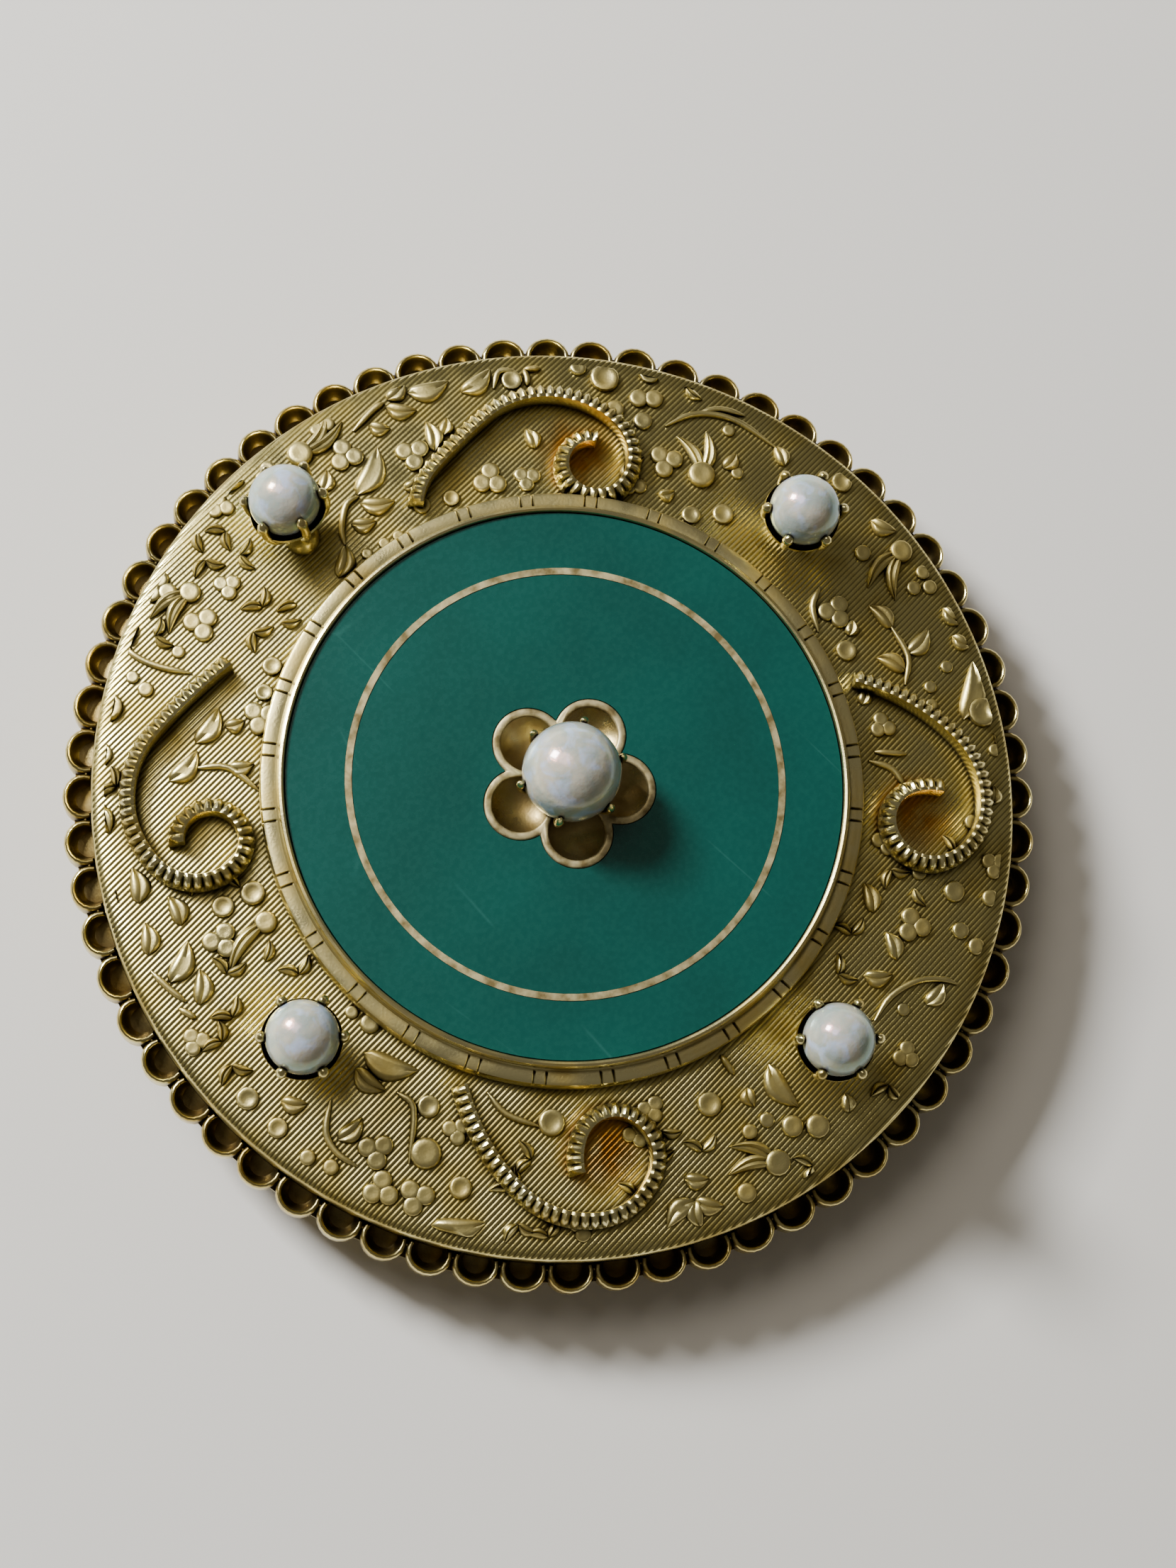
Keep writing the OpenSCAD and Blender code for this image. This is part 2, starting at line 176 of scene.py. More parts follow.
def mesh_object(name, points, edges, faces):
    """An object from points in millimetres."""
    mesh = bpy.data.meshes.new(name)
    mesh.from_pydata([Vector(p) * MM for p in points], edges, faces)
    obj = bpy.data.objects.new(name, mesh)
    bpy.context.scene.collection.objects.link(obj)
    return obj


def edit(obj):
    """Opens an object in edit mode with all of it selected."""
    deselect()
    obj.select_set(True)
    bpy.context.view_layer.objects.active = obj
    bpy.ops.object.mode_set(mode="EDIT")
    bpy.ops.mesh.select_all(action="SELECT")


def finish(obj, material, sharp=35):
    """Closes seams, turns faces outwards, smooths up to an edge angle and gives the finish."""
    edit(obj)
    bpy.ops.mesh.remove_doubles(threshold=0.002 * MM)
    bpy.ops.mesh.normals_make_consistent(inside=False)
    bpy.ops.object.mode_set(mode="OBJECT")
    bpy.ops.object.shade_smooth_by_angle(angle=math.radians(sharp))
    obj.data.materials.clear()
    obj.data.materials.append(material)


def spun(name, profile, steps):
    """A turned piece: a profile of (radius, height) points, spun about Z."""
    edges = [(i, i + 1) for i in range(len(profile) - 1)]
    obj = mesh_object(name, [(r, 0, z) for r, z in profile], edges, [])
    edit(obj)
    bpy.ops.mesh.spin(steps=steps, angle=math.tau, center=(0, 0, 0), axis=(0, 0, 1))
    bpy.ops.mesh.select_all(action="SELECT")
    bpy.ops.mesh.remove_doubles(threshold=0.002 * MM)
    bpy.ops.object.mode_set(mode="OBJECT")
    return obj


def joined(name, objects):
    """Several objects joined into one."""
    deselect()
    for obj in objects:
        obj.select_set(True)
    bpy.context.view_layer.objects.active = objects[0]
    bpy.ops.object.join()
    objects[0].name = name
    return objects[0]


# The dome rises 0.6 mm from its edge to the bezel's seat, which is the plate's highest level
plate_corner = [round(value / MM, 3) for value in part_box("front_plate")[1]]
PLATE_R = plate_corner[0]
SEAT_R = 13.5
CROWN = 0.6
EDGE_Z = plate_corner[2] - CROWN


def dome_z(x, y):
    """Height of the plate's face at a place."""
    return EDGE_Z + CROWN * (1 - (x * x + y * y) / PLATE_R ** 2) / (1 - (SEAT_R / PLATE_R) ** 2)


def band(rows, sides, first=0):
    """Faces between rows of points that go round, with both ends closed."""
    faces = []
    for row in range(rows - 1):
        for k in range(sides):
            a, b = first + row * sides + k, first + row * sides + (k + 1) % sides
            faces.append((a, b, b + sides, a + sides))
    faces.append(tuple(first + k for k in range(sides)))
    faces.append(tuple(first + (rows - 1) * sides + k for k in range(sides)))
    return faces


relief_points = []
relief_faces = []
# The pattern was struck a little off the plate's centre
STRUCK_SHIFT = (0.2, 0.05)
PATTERN_R = 20.1


def seat(x, y, height):
    """A point of the pattern, at a height above the plate's face."""
    x, y = x + STRUCK_SHIFT[0], y + STRUCK_SHIFT[1]
    pull = min(1, PATTERN_R / math.hypot(x, y))
    return (x * pull, y * pull, dome_z(x * pull, y * pull) + height)


def raised_line(path, width, height, leaf=False):
    """A stem, or a leaf with a sunken midrib, raised along a path of (x, y) points."""
    points = [Vector(p) for p in path]
    ends = [points[0] * 2 - points[1]] + points + [points[-1] * 2 - points[-2]]
    stations = []
    per_span = 8 if len(points) == 2 else 4
    for i in range(len(points) - 1):
        a, b, c, d = ends[i:i + 4]
        for k in range(per_span + (i == len(points) - 2)):
            t = k / per_span
            stations.append(0.5 * (2 * b + (c - a) * t + (2 * a - 5 * b + 4 * c - d) * t ** 2
                                   + (3 * b - a - 3 * c + d) * t ** 3))
    midrib = 0.6 if leaf else 1.0
    across = ((-1, -0.4), (-1, 0), (-0.78, 0.8), (-0.4, 1), (0, midrib), (0.4, 1), (0.78, 0.8), (1, 0),
              (1, -0.4))
    last = len(stations) - 1
    length = (points[-1] - points[0]).length
    first = len(relief_points)
    for i, here in enumerate(stations):
        t = i / last
        ahead = (stations[min(i + 1, last)] - stations[max(i - 1, 0)]).normalized()
        side = Vector((ahead.y, -ahead.x))
        if leaf:
            swell = 0.06 + 0.94 * math.sin(math.pi * t ** 0.8) ** 0.8 if 0 < t < 1 else 0.06
            here = here + side * 0.13 * length * math.sin(math.pi * t)
        else:
            swell = 0.3 + 0.7 * min(1, 5 * t, 5 * (1 - t))
        for s, h in across:
            place = here + side * s * swell * width / 2
            relief_points.append(seat(place.x, place.y, h * height * swell ** 0.5))
    relief_faces.extend(band(last + 1, len(across), first))


def boss(x, y, radius, ring_heights, sides=14):
    """A round boss whose face follows heights given from its rim to its middle, in parts of its radius."""
    first = len(relief_points)
    radii = (1.0, 1.0, 0.93, 0.76, 0.5, 0.12)
    for part, height in zip(radii, (-0.25,) + ring_heights):
        for k in range(sides):
            a = math.tau * k / sides
            relief_points.append(seat(x + part * radius * math.cos(a), y + part * radius * math.sin(a),
                                      height * radius))
    relief_faces.extend(band(len(radii), sides, first))


BERRY = (0.05, 0.42, 0.5, 0.5, 0.47)
DISC = (0.05, 0.38, 0.44, 0.34, 0.3)

leaves = [
    (-9.3, 18.5, -8.4, 18.9), (-12.2, 12.4, -10.4, 12.5), (-10.2, 12.8, -8.4, 13.2),
    (-8.8, 12.4, -8, 12), (-10, 11, -9.1, 10.3),
    (-15.6, 12.6, -15.4, 14.2), (-16.9, 9.5, -16, 10.8), (-16.3, 7.5, -15.8, 8.8), (-18.2, 7.6, -17.3, 8.7),
    (-18.4, 6.1, -16.6, 6.8), (-18.2, 4.5, -17.1, 5.6), (5.8, 17.9, 6.4, 17.1), (7, 18, 7.9, 16.9),
    (7.3, 18.2, 8.5, 18.3), (8.2, 17.8, 10, 16.9), (-0.4, 13.7, 0.9, 14.6), (3, 15.9, 5.3, 16.9),
    (2.8, 15.5, 4, 14.5), (1.8, 15.1, 2.7, 14.4), (7, 14.9, 7.8, 16.2), (7.8, 15.2, 8.6, 15.7),
    (4.7, 14.6, 5.6, 14.4), (10.4, 11.8, 10.8, 12.8), (10, 16.1, 11.8, 16), (2, 17.1, 2.9, 17.7),
    (12.8, 6.3, 13.5, 5.9), (16, 5.1, 17, 5.2), (18.2, 3.2, 18.6, 4.2), (19.2, -1.4, 19.7, -2.6),
    (16, -5.6, 16, -4.1), (15.6, -6.9, 17.2, -6.8), (14.9, -7.4, 14.4, -6), (18.5, -6.6, 18.7, -7.8),
    (17.8, -7.8, 18.2, -8.8), (15.2, -10.8, 17.6, -9.3), (12.2, -7, 12.9, -6.6), (13.2, -14.4, 13.9, -13.9),
    (14.2, -4.4, 14.9, -4), (-2.8, -15, -3.2, -17.2), (-4.2, -15, -4.6, -15.8), (-9, -15.7, -8.2, -16.5),
    (-9.3, -16.7, -11, -16.6), (-9.3, -16.7, -10, -17.7), (-9.3, -16.7, -8.6, -17.8),
    (-1.8, -19, -1.3, -18.3), (3.1, -15.4, 4.1, -16.3), (4.7, -16, 5.3, -14.8), (5.5, -13.8, 6.2, -12.6),
    (4.2, -18.3, 5.5, -18.2), (-18.7, -0.9, -18, -1.8), (-18.2, -3.8, -16.8, -3.9),
    (-15.5, -2.2, -15.3, -3.8), (-14.8, -2, -13.7, -4.2), (-18, -9.2, -16.3, -10.8),
]
for x0, y0, x1, y1 in leaves:
    leaf_length = math.hypot(x1 - x0, y1 - y0)
    raised_line([(x0, y0), (x1, y1)], 0.5 + 0.28 * leaf_length, 0.28, leaf=True)

stems = [
    [(-9.3, 18.4), (-9.2, 17.3), (-8.8, 16.3), (-8.1, 15.2)], [(-11, 12), (-10, 11), (-9.8, 9.3)],
    [(-18.6, 7), (-18.6, 6), (-18.5, 5)], [(-18.9, 5), (-18.7, 4.2)], [(5.1, 18.2), (6.5, 18.3), (7.1, 18.2)],
    [(0.9, 14.6), (1.3, 15.2), (2.3, 15.9), (3, 15.8)], [(11.2, 15.2), (12, 15.6), (12.6, 15)],
    [(12.9, 14.9), (12.7, 14.5), (12.4, 14.2)], [(12.9, 14.9), (13.5, 14.4)],
    [(15.6, 8.4), (16.8, 8), (17.7, 7.2), (18.3, 6), (18.6, 4)], [(17.2, 7.8), (18.1, 7.2), (18.7, 6.2)],
    [(15, -1.9), (14, -2.3), (13.3, -3.3)], [(14.4, -7.8), (15.5, -7), (16, -5.5)],
    [(10.5, -9), (11, -10), (10.8, -11)], [(11, -8.9), (12, -10)], [(-4.2, -14.2), (-4, -13.2)],
    [(2, -17.1), (3.3, -16.9), (4.7, -17.3), (5.6, -18.1), (5.9, -18.7)],
    [(-17.2, -2.4), (-18.3, -3.2), (-18.6, -4.2), (-18.4, -5.2)], [(-15, -4.2), (-15, -5.2), (-16.8, -6.7)],
    [(-12.3, -7), (-12.4, -8.2), (-11.8, -9.6)],
]
for path in stems:
    raised_line(path, 0.3, 0.24)

# A round head with up to two tapering tails that meet it
pods = [
    (-5.5, 17.9, 0.5, [(-7.5, 17.2), (-7.6, 18.3)]), (-13.7, 5, 0.5, [(-16.4, 4.5)]),
    (2.6, 19.1, 0.6, [(5.1, 18.9), (4.8, 19.6)]), (15, 5.6, 0.65, [(15.6, 7.7), (16.8, 6.9)]),
    (19.1, -3.4, 0.55, [(17.1, -4.8), (16.6, -3.5)]), (-5.6, -18.2, 0.6, [(-6.6, -16.2), (-7.5, -17)]),
    (-16, -6.9, 0.7, []),
]
for x, y, radius, tails in pods:
    boss(x, y, radius, BERRY)
    for tail in tails:
        raised_line([(x, y), tail], 0.7, 0.28, leaf=True)

discs = [
    (-11.7, 16.7, 0.65), (-13.4, 15.4, 0.5), (-5.4, 12.9, 0.45), (-6.5, 12.3, 0.4), (-14.5, 6.8, 0.5),
    (-13.2, 6.3, 0.55), (4.7, 13.5, 0.4), (5.9, 12.8, 0.4), (12.1, 14.9, 0.5), (15.3, 12, 0.7),
    (17, 10.7, 0.5), (13.2, 4.6, 0.45), (14.3, 3.6, 0.5), (19.6, 0.8, 0.5), (13.6, -4.8, 0.5),
    (16.1, -11.2, 0.7), (-5.9, -14.3, 0.55), (-19.6, 0.2, 0.5), (-19.6, -1.6, 0.45), (-14.5, -5.6, 0.5),
    (-16, -9, 0.5), (-11.3, -9.9, 0.6),
]
for x, y, radius in discs:
    boss(x, y, radius, DISC)

berries = [
    (-10, 16.9, 0.3), (-10, 16.1, 0.35), (-7.8, 16.3, 0.3), (-17.6, 10.6, 0.3), (1.3, 13.6, 0.28),
    (2.2, 13.4, 0.28), (2.9, 13.2, 0.28), (14.8, 13.2, 0.4), (14.5, 10.6, 0.45), (15.7, 10.2, 0.45),
    (15, 9.3, 0.45), (16.2, 9.7, 0.45), (17.6, 6.2, 0.3), (16.3, 4.5, 0.3), (17.7, -2.2, 0.4),
    (18.2, -5, 0.35), (19.1, -4.8, 0.35), (18.8, -5.5, 0.35), (16.5, -8.6, 0.3), (15.2, -8.7, 0.3),
    (14.6, -9.3, 0.3), (15.2, -12.8, 0.3), (15.9, -12.7, 0.3), (-5.5, -16.4, 0.35), (-4.6, -16.6, 0.35),
    (-7.5, -18.1, 0.45), (-4, -17.6, 0.5), (-3.2, -18.4, 0.55), (8.9, -15.8, 0.5), (7.8, -17.2, 0.4),
    (9.9, -17.2, 0.4), (7.8, -18.2, 0.4), (3.3, -17.7, 0.3), (-13.7, -1.3, 0.45), (-13.9, -0.4, 0.3),
    (-19.6, -3.4, 0.35), (-19.2, -4.4, 0.35),
]
for x, y, radius in berries:
    boss(x, y, radius, BERRY)

# Three lobes round one point
trefoils = [
    (-6.2, 16.5), (-6.3, 19), (-7.4, 11.6), (-15.6, 5.8), (4, 17.6), (6.2, 15.5), (7.8, 12.2), (14.3, 7.2),
    (14.6, -3.2), (6.4, -15.5), (-17.4, -5.3), (-18.4, -6.6), (-17.6, -7.9),
]
for index, (x, y) in enumerate(trefoils):
    for lobe in range(3):
        turn = math.radians(120 * lobe + 47 * index)
        boss(x + 0.4 * math.cos(turn), y + 0.4 * math.sin(turn), 0.44, BERRY)

# Small sprigs, lobes and leaves fill the ground between the larger ones, as far apart as the struck
# pattern leaves them. The places come from a seeded draw, clear of all that stands on the plate.
PEARL_SEATS = [(0, 16.25), (16.25, 0.9), (-0.3, -16.25), (-16.25, 0.2)]
SCROLL_PLACES = [(-6.5, 14.4), (-9.5, 14.4), (-12.5, 13.2), (-13.5, 10.5), (-11.5, 9.5), (-10.8, 11.5),
                 (-12.8, -5.9), (-14, -9), (-13.3, -12), (-11, -12.8), (-9.6, -11), (-11.5, -10)]
taken = [(x, y, 2.6) for x, y in PEARL_SEATS]
taken += [(side * x, y, 1.25) for x, y in SCROLL_PLACES for side in (-1, 1)]
taken += [(x, y, 0.85) for leaf in leaves for x, y in (leaf[:2], leaf[2:])]
taken += [(x, y, 0.7) for path in stems for x, y in path]
taken += [(x, y, 0.6 + spot[0]) for x, y, *spot in pods + discs + berries]
taken += [(x, y, 1.15) for x, y in trefoils]
draw = random.Random(17)
for _ in range(1500):
    a, r = draw.uniform(0, math.tau), draw.uniform(14.2, 20.0)
    x, y = r * math.cos(a), r * math.sin(a)
    if any(math.hypot(x - tx, y - ty) < reach + 0.3 for tx, ty, reach in taken):
        continue
    turn = draw.uniform(0, math.tau)
    kind = draw.choice(("sprig", "sprig", "sprig", "lobes", "leaf"))
    if kind == "lobes":
        for lobe in (0, 2.2, 4.2):
            boss(x + 0.3 * math.cos(turn + lobe), y + 0.3 * math.sin(turn + lobe), 0.36, BERRY)
    else:
        spread = (-0.9, 0.9) if kind == "sprig" else (0,)
        for bend in spread:
            tip = (x + 0.95 * math.cos(turn + bend), y + 0.95 * math.sin(turn + bend))
            raised_line([(x, y), tip], 0.5, 0.28, leaf=True)
    taken.append((x, y, 0.75))

plate_profile = [(13.35, 5.4)]
for step in range(13):
    r = 13.35 + (20.35 - 13.35) * step / 12
    plate_profile.append((r, dome_z(r, 0)))
plate_profile += [(20.5, 5.28), (20.62, 5.2), (20.68, 5.08), (PLATE_R, 4.9), (PLATE_R, 2.9), (20.25, 2.9)]
plate_profile += [(20.25, 4.85), (16.5, dome_z(16.5, 0) - 0.45), (13.35, 5.4)]

# Painted shade in the tarnish colour darkens the ground round each raised leaf and berry
front_gilt = gilt_brass("worn_gilt_engraved", "E9DB90", "B5A258", "2B1F0A", 0.5, engraved=True)
relief_gilt = gilt_brass("worn_gilt_relief", "F0E29C", "C6B26A", "241806", 0.6, smoothness=0.75)
# An amber stain inside three of the curls, brown-gold, that fades out 2.2 mm away
STAINED_CURLS = [(-10.4, -12.2), (10.4, -12.0), (11.8, 10.4)]
tree = front_gilt.node_tree
shader = tree.nodes["Principled BSDF"]
clean_colour = shader.inputs["Base Color"].links[0].from_socket
where = add_node(tree, "ShaderNodeTexCoord").outputs["Object"]
blotch = add_node(tree, "ShaderNodeTexNoise", {"Scale": 1 / (0.9 * MM), "Detail": 4}, {"Vector": where})
for x, y in STAINED_CURLS:
    away = add_node(tree, "ShaderNodeVectorMath", {1: (x * MM, y * MM, dome_z(x, y) * MM)}, {0: where},
                    operation="DISTANCE")
    near = add_node(tree, "ShaderNodeMapRange", {"From Min": 0.7 * MM, "From Max": 2.2 * MM, "To Min": 1.7,
                                                 "To Max": 0.0}, {"Value": away.outputs["Value"]})
    stain = add_node(tree, "ShaderNodeMath", {}, {0: near.outputs["Result"], 1: blotch.outputs["Fac"]},
                     operation="MULTIPLY", use_clamp=True)
    clean_colour = add_node(tree, "ShaderNodeMix", {7: linear("A06A1C")},
                            {0: stain.outputs["Value"], 6: clean_colour}, data_type="RGBA").outputs[2]
tree.links.new(clean_colour, shader.inputs["Base Color"])
ground = spun("ground", plate_profile, 180)
finish(ground, front_gilt, 40)
# The wall of the plate is plain, without engraved lines
ground.data.materials.append(relief_gilt)
for face in ground.data.polygons:
    face.material_index = 0 if face.normal.z > 0.75 else 1
foliage = mesh_object("foliage", relief_points, [], relief_faces)
finish(foliage, relief_gilt, 60)
plate = joined("front_plate_struck", [ground, foliage])
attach(plate, "brooch")
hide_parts("front_plate")

# ---------------------------------------------------------------- scalloped border
# The border is a gallery of 64 little cups, struck in one strip of gilt brass. Each has a thin rolled lip,
# and a small four-sided point fills each gap between two cups next to the plate.
CUPS = 64
CUP_RING_R = 21.05
WALL_CUT = 0.33
# Each cup is a little wider along the rim, so that it meets the next one
CUP_WIDENING = 1.09

# The cups' insides take painted shade: the tarnish colour over 1.1 mm darkens them
border_gilt = gilt_brass("worn_gilt_cups", "F4E6A0", "BFA75C", "38260E", 1.1, smoothness=1.3)
cup_profile = [(0, 2.9), (0.95, 2.9), (0.95, 3.86), (0.93, 3.99), (0.87, 4.07), (0.81, 4.1), (0.75, 4.07),
               (0.72, 3.98), (0.68, 3.78), (0.6, 3.56), (0.46, 3.36), (0.26, 3.24), (0, 3.2)]
cup = spun("cup", cup_profile, 20)
# The plate's wall cuts off the inner part of each cup
edit(cup)
bpy.ops.mesh.bisect(plane_co=(-WALL_CUT * MM, 0, 0), plane_no=(-1, 0, 0), use_fill=True, clear_outer=True)
bpy.ops.object.mode_set(mode="OBJECT")
cup.data.transform(Matrix.Diagonal((1, CUP_WIDENING, 1, 1)))
finish(cup, border_gilt, 50)
deselect()
bpy.ops.mesh.primitive_cone_add(vertices=4, radius1=0.4 * MM, radius2=0.05 * MM, depth=0.8 * MM,
                                location=(0, 0, 3.6 * MM))
point = bpy.context.object
finish(point, border_gilt, 20)


def placed_copy(obj, matrix, name):
    """A copy with its own mesh, which takes up its place in the mesh."""
    copy = bpy.data.objects.new(name, obj.data.copy())
    copy.data.transform(matrix)
    bpy.context.scene.collection.objects.link(copy)
    return copy


def remove(obj):
    """Deletes a pattern piece once it has been copied."""
    bpy.data.objects.remove(obj)


point.data.transform(point.matrix_world)
cup_copies = []
for index in range(CUPS):
    turn = Matrix.Rotation(math.tau * index / CUPS, 4, "Z")
    half = Matrix.Rotation(math.tau * (index + 0.5) / CUPS, 4, "Z")
    cup_copies.append(placed_copy(cup, turn @ Matrix.Translation((CUP_RING_R * MM, 0, 0)), "cup_copy"))
    cup_copies.append(placed_copy(point, half @ Matrix.Translation((21.0 * MM, 0, 0)), "point_copy"))
remove(cup)
remove(point)
strip = spun("strip", [(20.72, 2.94), (21.5, 2.94), (21.5, 3.3), (21.1, 3.36), (20.85, 3.5),
                       (20.72, 3.54), (20.72, 2.94)], 192)
finish(strip, border_gilt, 40)
border = joined("border_gallery", [strip] + cup_copies)
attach(border, "brooch")
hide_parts("scalloped_border")

# ---------------------------------------------------------------- enamel bezel
# The bezel is a turned gilt ring that holds the enamel by a thin rubbed-over lip. Pairs of cuts are made
# with a graver across its flat outer step.
TICK_PAIRS = 28
TICK_GAP = 2.4
CUT_HALF = 0.3
CUT_DEPTH = 0.09

bezel_profile = [(12.35, 5.9), (12.35, 7.36), (12.39, 7.46), (12.48, 7.5), (12.58, 7.46), (12.64, 7.36),
                 (12.66, 7.02), (12.74, 6.93), (12.8, 6.93), (13.2, 6.97), (13.33, 6.92), (13.4, 6.78),
                 (13.4, 5.9)]
bezel_points = []
columns = []
for pair in range(TICK_PAIRS):
    middle = 90 + 360 / TICK_PAIRS * pair
    for cut in (-TICK_GAP / 2, TICK_GAP / 2):
        columns += [(middle + cut - CUT_HALF, 0), (middle + cut, CUT_DEPTH), (middle + cut + CUT_HALF, 0)]
    columns += [(middle + extra, 0) for extra in (2.6, 4.5, 6.4, 8.3, 10.2)]
for angle, depth in columns:
    a = math.radians(angle)
    for r, z in bezel_profile:
        lowered = z - depth if 12.78 < r and z > 6.5 else z
        bezel_points.append((r * math.cos(a), r * math.sin(a), lowered))
sides = len(bezel_profile)
bezel_faces = []
for c in range(len(columns)):
    for k in range(sides):
        a, b = c * sides + k, c * sides + (k + 1) % sides
        d, e = ((c + 1) % len(columns)) * sides + k, ((c + 1) % len(columns)) * sides + (k + 1) % sides
        bezel_faces.append((a, b, e, d))
bezel_gilt = gilt_brass("worn_gilt_bezel", "F6EBAE", "D0BC76", "2A1D0A", 0.4, smoothness=0.9)
bezel = mesh_object("bezel_turned", bezel_points, [], bezel_faces)
finish(bezel, bezel_gilt, 30)
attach(bezel, "brooch")
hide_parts("enamel_bezel")

# ---------------------------------------------------------------- enamel centre and gold line
# A disc of fired teal glass, with a thin gold wire let into it almost flush. A plain gilt disc backs it. The
# glass is glossy, with a fine grain and a few hair scratches from wear.


def give(node, material):
    """Gives a finish to a part that keeps its own shape."""
    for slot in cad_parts[node].material_slots:
        slot.material = material


# Vitreous enamel: deep teal, glassy, hardly any texture
enamel = bpy.data.materials.new("vitreous_enamel_teal")
enamel.use_nodes = True
tree = enamel.node_tree
shader = tree.nodes["Principled BSDF"]
shader.inputs["IOR"].default_value = 1.52
shader.inputs["Coat Weight"].default_value = 0.15
shader.inputs["Coat Roughness"].default_value = 0.12
where = add_node(tree, "ShaderNodeTexCoord").outputs["Object"]
# Grain 0.25 mm across, and slow changes of depth over 6 mm
grain = add_node(tree, "ShaderNodeTexNoise", {"Scale": 1 / (0.25 * MM), "Detail": 4}, {"Vector": where})
depth = add_node(tree, "ShaderNodeTexNoise", {"Scale": 1 / (6 * MM), "Detail": 2}, {"Vector": where})
mixed = add_node(tree, "ShaderNodeMath", {1: 0.5}, {0: grain.outputs["Fac"], 2: depth.outputs["Fac"]},
                 operation="MULTIPLY_ADD")
tone = add_node(tree, "ShaderNodeMapRange", {"From Min": 0.5, "From Max": 1.0},
                {"Value": mixed.outputs["Value"]})
teal = add_node(tree, "ShaderNodeMix", {6: linear("003F37"), 7: linear("004940")},
                {0: tone.outputs["Result"]}, data_type="RGBA")
# Hair scratches: the borders of stretched cells, 7 mm one way and 28 mm the other
stretch = add_node(tree, "ShaderNodeMapping", {"Rotation": (0, 0, 0.6), "Scale": (1, 0.25, 1)},
                   {"Vector": where})
cells = add_node(tree, "ShaderNodeTexVoronoi", {"Scale": 1 / (7 * MM)}, {"Vector": stretch.outputs["Vector"]},
                 feature="DISTANCE_TO_EDGE")
scratch = add_node(tree, "ShaderNodeMapRange",
                   {"From Min": 0.0, "From Max": 0.006, "To Min": 0.12, "To Max": 0.0},
                   {"Value": cells.outputs["Distance"]})
short = add_node(tree, "ShaderNodeMapRange", {"From Min": 0.55, "From Max": 0.62},
                 {"Value": depth.outputs["Fac"]})
faint = add_node(tree, "ShaderNodeMath", {}, {0: scratch.outputs["Result"], 1: short.outputs["Result"]},
                 operation="MULTIPLY")
scuffed = add_node(tree, "ShaderNodeMix", {7: linear("4E8A80")},
                   {0: faint.outputs["Value"], 6: teal.outputs[2]}, data_type="RGBA")
tree.links.new(scuffed.outputs[2], shader.inputs["Base Color"])
rough = add_node(tree, "ShaderNodeMapRange", {"To Min": 0.2, "To Max": 0.34}, {"Value": grain.outputs["Fac"]})
tree.links.new(rough.outputs["Result"], shader.inputs["Roughness"])
bump = add_node(tree, "ShaderNodeBump", {"Strength": 0.35, "Distance": 0.006 * MM},
                {"Height": grain.outputs["Fac"]})
tree.links.new(bump.outputs["Normal"], shader.inputs["Normal"])
give("enamel_plaque", enamel)

# Old gold wire: matt, mottled from dull brown to pale gold every 0.6 mm
wire = bpy.data.materials.new("old_gold_wire")
wire.use_nodes = True
tree = wire.node_tree
shader = tree.nodes["Principled BSDF"]
shader.inputs["Metallic"].default_value = 0.75
shader.inputs["Roughness"].default_value = 0.5
where = add_node(tree, "ShaderNodeTexCoord").outputs["Object"]
mottle = add_node(tree, "ShaderNodeTexNoise", {"Scale": 1 / (0.6 * MM), "Detail": 5}, {"Vector": where})
tone = add_node(tree, "ShaderNodeMapRange", {"From Min": 0.35, "From Max": 0.65},
                {"Value": mottle.outputs["Fac"]})
gold = add_node(tree, "ShaderNodeMix", {6: linear("7C6C44"), 7: linear("CDBE8E")},
                {0: tone.outputs["Result"]}, data_type="RGBA")
tree.links.new(gold.outputs[2], shader.inputs["Base Color"])
bump = add_node(tree, "ShaderNodeBump", {"Strength": 0.6, "Distance": 0.02 * MM},
                {"Height": mottle.outputs["Fac"]})
tree.links.new(bump.outputs["Normal"], shader.inputs["Normal"])
give("gold_line_ring", wire)
give("plaque_backing", bezel_gilt)

# ---------------------------------------------------------------- flower
# The cinquefoil is a gold rim let into the enamel, with a dished gilt petal in each of its five lobes. The
# rim stands just proud of the enamel.
PETAL_REACH = 2.35


def softened(node, edge, material, name, sharp=35):
    """A part's own shape with its sharp edges eased, as polishing leaves them."""
    obj = bpy.data.objects.new(name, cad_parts[node].data.copy())
    bpy.context.scene.collection.objects.link(obj)
    edit(obj)
    bpy.ops.mesh.remove_doubles(threshold=0.001 * MM)
    bpy.ops.mesh.dissolve_limited(angle_limit=math.radians(1))
    bpy.ops.object.mode_set(mode="OBJECT")
    ease = obj.modifiers.new("eased_edges", "BEVEL")
    ease.width = edge * MM
    ease.segments = 2
    ease.limit_method = "ANGLE"
    ease.angle_limit = math.radians(35)
    bpy.ops.object.modifier_apply(modifier=ease.name)
    bpy.ops.object.shade_smooth_by_angle(angle=math.radians(sharp))
    obj.data.materials.clear()
    obj.data.materials.append(material)
    return obj


flower_rim = softened("flower_rim", 0.09, wire, "flower_rim_polished")
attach(flower_rim, "brooch")
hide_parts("flower_rim")

petal_gilt = gilt_brass("gilt_petals", "CDB87A", "8E7644", "1E1408", 1.0)
petal_profile = [(0, 6.72), (0.35, 6.75), (0.75, 6.86), (1.05, 7.02), (1.26, 7.18), (1.26, 6.32), (0, 6.32)]
petal = spun("petal", petal_profile, 32)
petals = []
for index in range(5):
    turn = Matrix.Rotation(math.radians(90 + 72 * index), 4, "Z")
    petals.append(placed_copy(petal, turn @ Matrix.Translation((PETAL_REACH * MM, 0, 0)), "petal_copy"))
remove(petal)
petals.append(spun("heart", [(0, 6.32), (1.85, 6.32), (1.85, 6.78), (1.2, 6.9), (0, 6.9)], 40))
flower = joined("petals_dished", petals)
finish(flower, petal_gilt, 40)
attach(flower, "brooch")
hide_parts("flower_petals")

